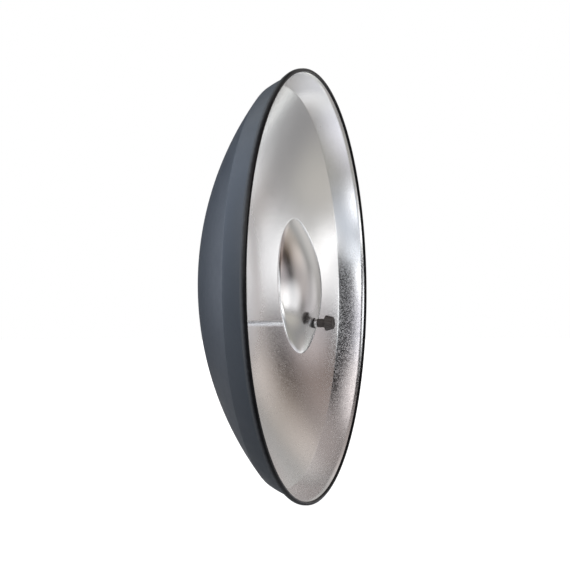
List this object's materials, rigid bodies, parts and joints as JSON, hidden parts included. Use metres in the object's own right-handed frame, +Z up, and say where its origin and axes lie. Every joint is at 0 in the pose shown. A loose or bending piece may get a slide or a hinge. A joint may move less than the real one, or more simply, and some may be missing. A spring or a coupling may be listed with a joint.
{
  "type": "beauty dish reflector",
  "caption": "Shallow round metal reflector dish with a bayonet collar behind and a small mirror dome deflector on a threaded stem, held by a thumb knob.",
  "frame": {"origin": "on the dish axis, in the rear end plane of the bayonet collar", "axes": "+Y along the dish axis towards the flash head, the open front faces -Y, +Z up, the deflector's stem is below the axis"},
  "size_m": [0.4199, 0.1207, 0.42],
  "materials": {
    "bowl_painted_aluminium": "satin blue-grey powder coat outside, hammered silver inside",
    "gloss_black_trim": "glossy black moulded edge trim",
    "cast_aluminium": "die cast, lightly brushed",
    "fibre_gasket": "dark heat-resistant fibre sheet",
    "plated_steel": "bright zinc plate",
    "screw_steel": "nickel-plated steel",
    "bright_steel": "bright plated thread",
    "polished_aluminium": "mirror-polished dome",
    "black_rubber": "soft black rubber",
    "black_nylon": "black nylon",
    "chrome_insert": "chromed insert",
    "black_knob": "black moulded plastic, light sheen"
  },
  "bodies": {
    "dish": {"reflector_bowl": "bowl_painted_aluminium", "rim_trim": "gloss_black_trim", "bayonet_adapter": "cast_aluminium", "adapter_gasket": "fibre_gasket", "inner_clamp_ring": "plated_steel", "adapter_screws": "screw_steel", "adapter_washers": "plated_steel", "adapter_nuts": "plated_steel", "threaded_stem": "bright_steel", "stem_rear_nut": "plated_steel", "stem_front_washer": "plated_steel", "stem_spring_washer": "plated_steel", "stem_front_nut": "plated_steel"},
    "depth_carriage": {"deflector_rear_washer": "plated_steel"},
    "lock_nut": {"deflector_lock_nut": "plated_steel"},
    "deflector": {"deflector_dome": "polished_aluminium", "deflector_front_pad": "black_rubber", "deflector_rear_pad": "black_rubber"},
    "knob_washer": {"front_washer": "black_nylon"},
    "knob": {"knob_insert": "chrome_insert", "thumb_knob": "black_knob"}
  },
  "joints": [
    {"name": "depth_slide", "type": "slide", "parent": "dish", "child": "depth_carriage", "axis": [0, 1, 0], "range_m": [0, 0.0105]},
    {"name": "lock_nut_spin", "type": "hinge", "parent": "depth_carriage", "child": "lock_nut", "pos_m": [0, -0.0927, -0.035], "axis": [0, 1, 0], "range_deg": [0, 3781]},
    {"name": "deflector_swing", "type": "hinge", "parent": "depth_carriage", "child": "deflector", "pos_m": [0, -0.0987, -0.035], "axis": [0, 1, 0], "continuous": true},
    {"name": "knob_travel", "type": "slide", "parent": "depth_carriage", "child": "knob_washer", "axis": [0, 1, 0], "range_m": [-0.0051, 0]},
    {"name": "knob_spin", "type": "hinge", "parent": "knob_washer", "child": "knob", "pos_m": [0, -0.1127, -0.035], "axis": [0, 1, 0], "range_deg": [-1800, 0]}
  ],
  "couplings": [
    {"joint": "lock_nut_spin", "follows": "depth_slide", "rad_per_m": 6283.2},
    {"joint": "knob_travel", "follows": "knob_spin", "m_per_rad": 0.00015915}
  ]
}
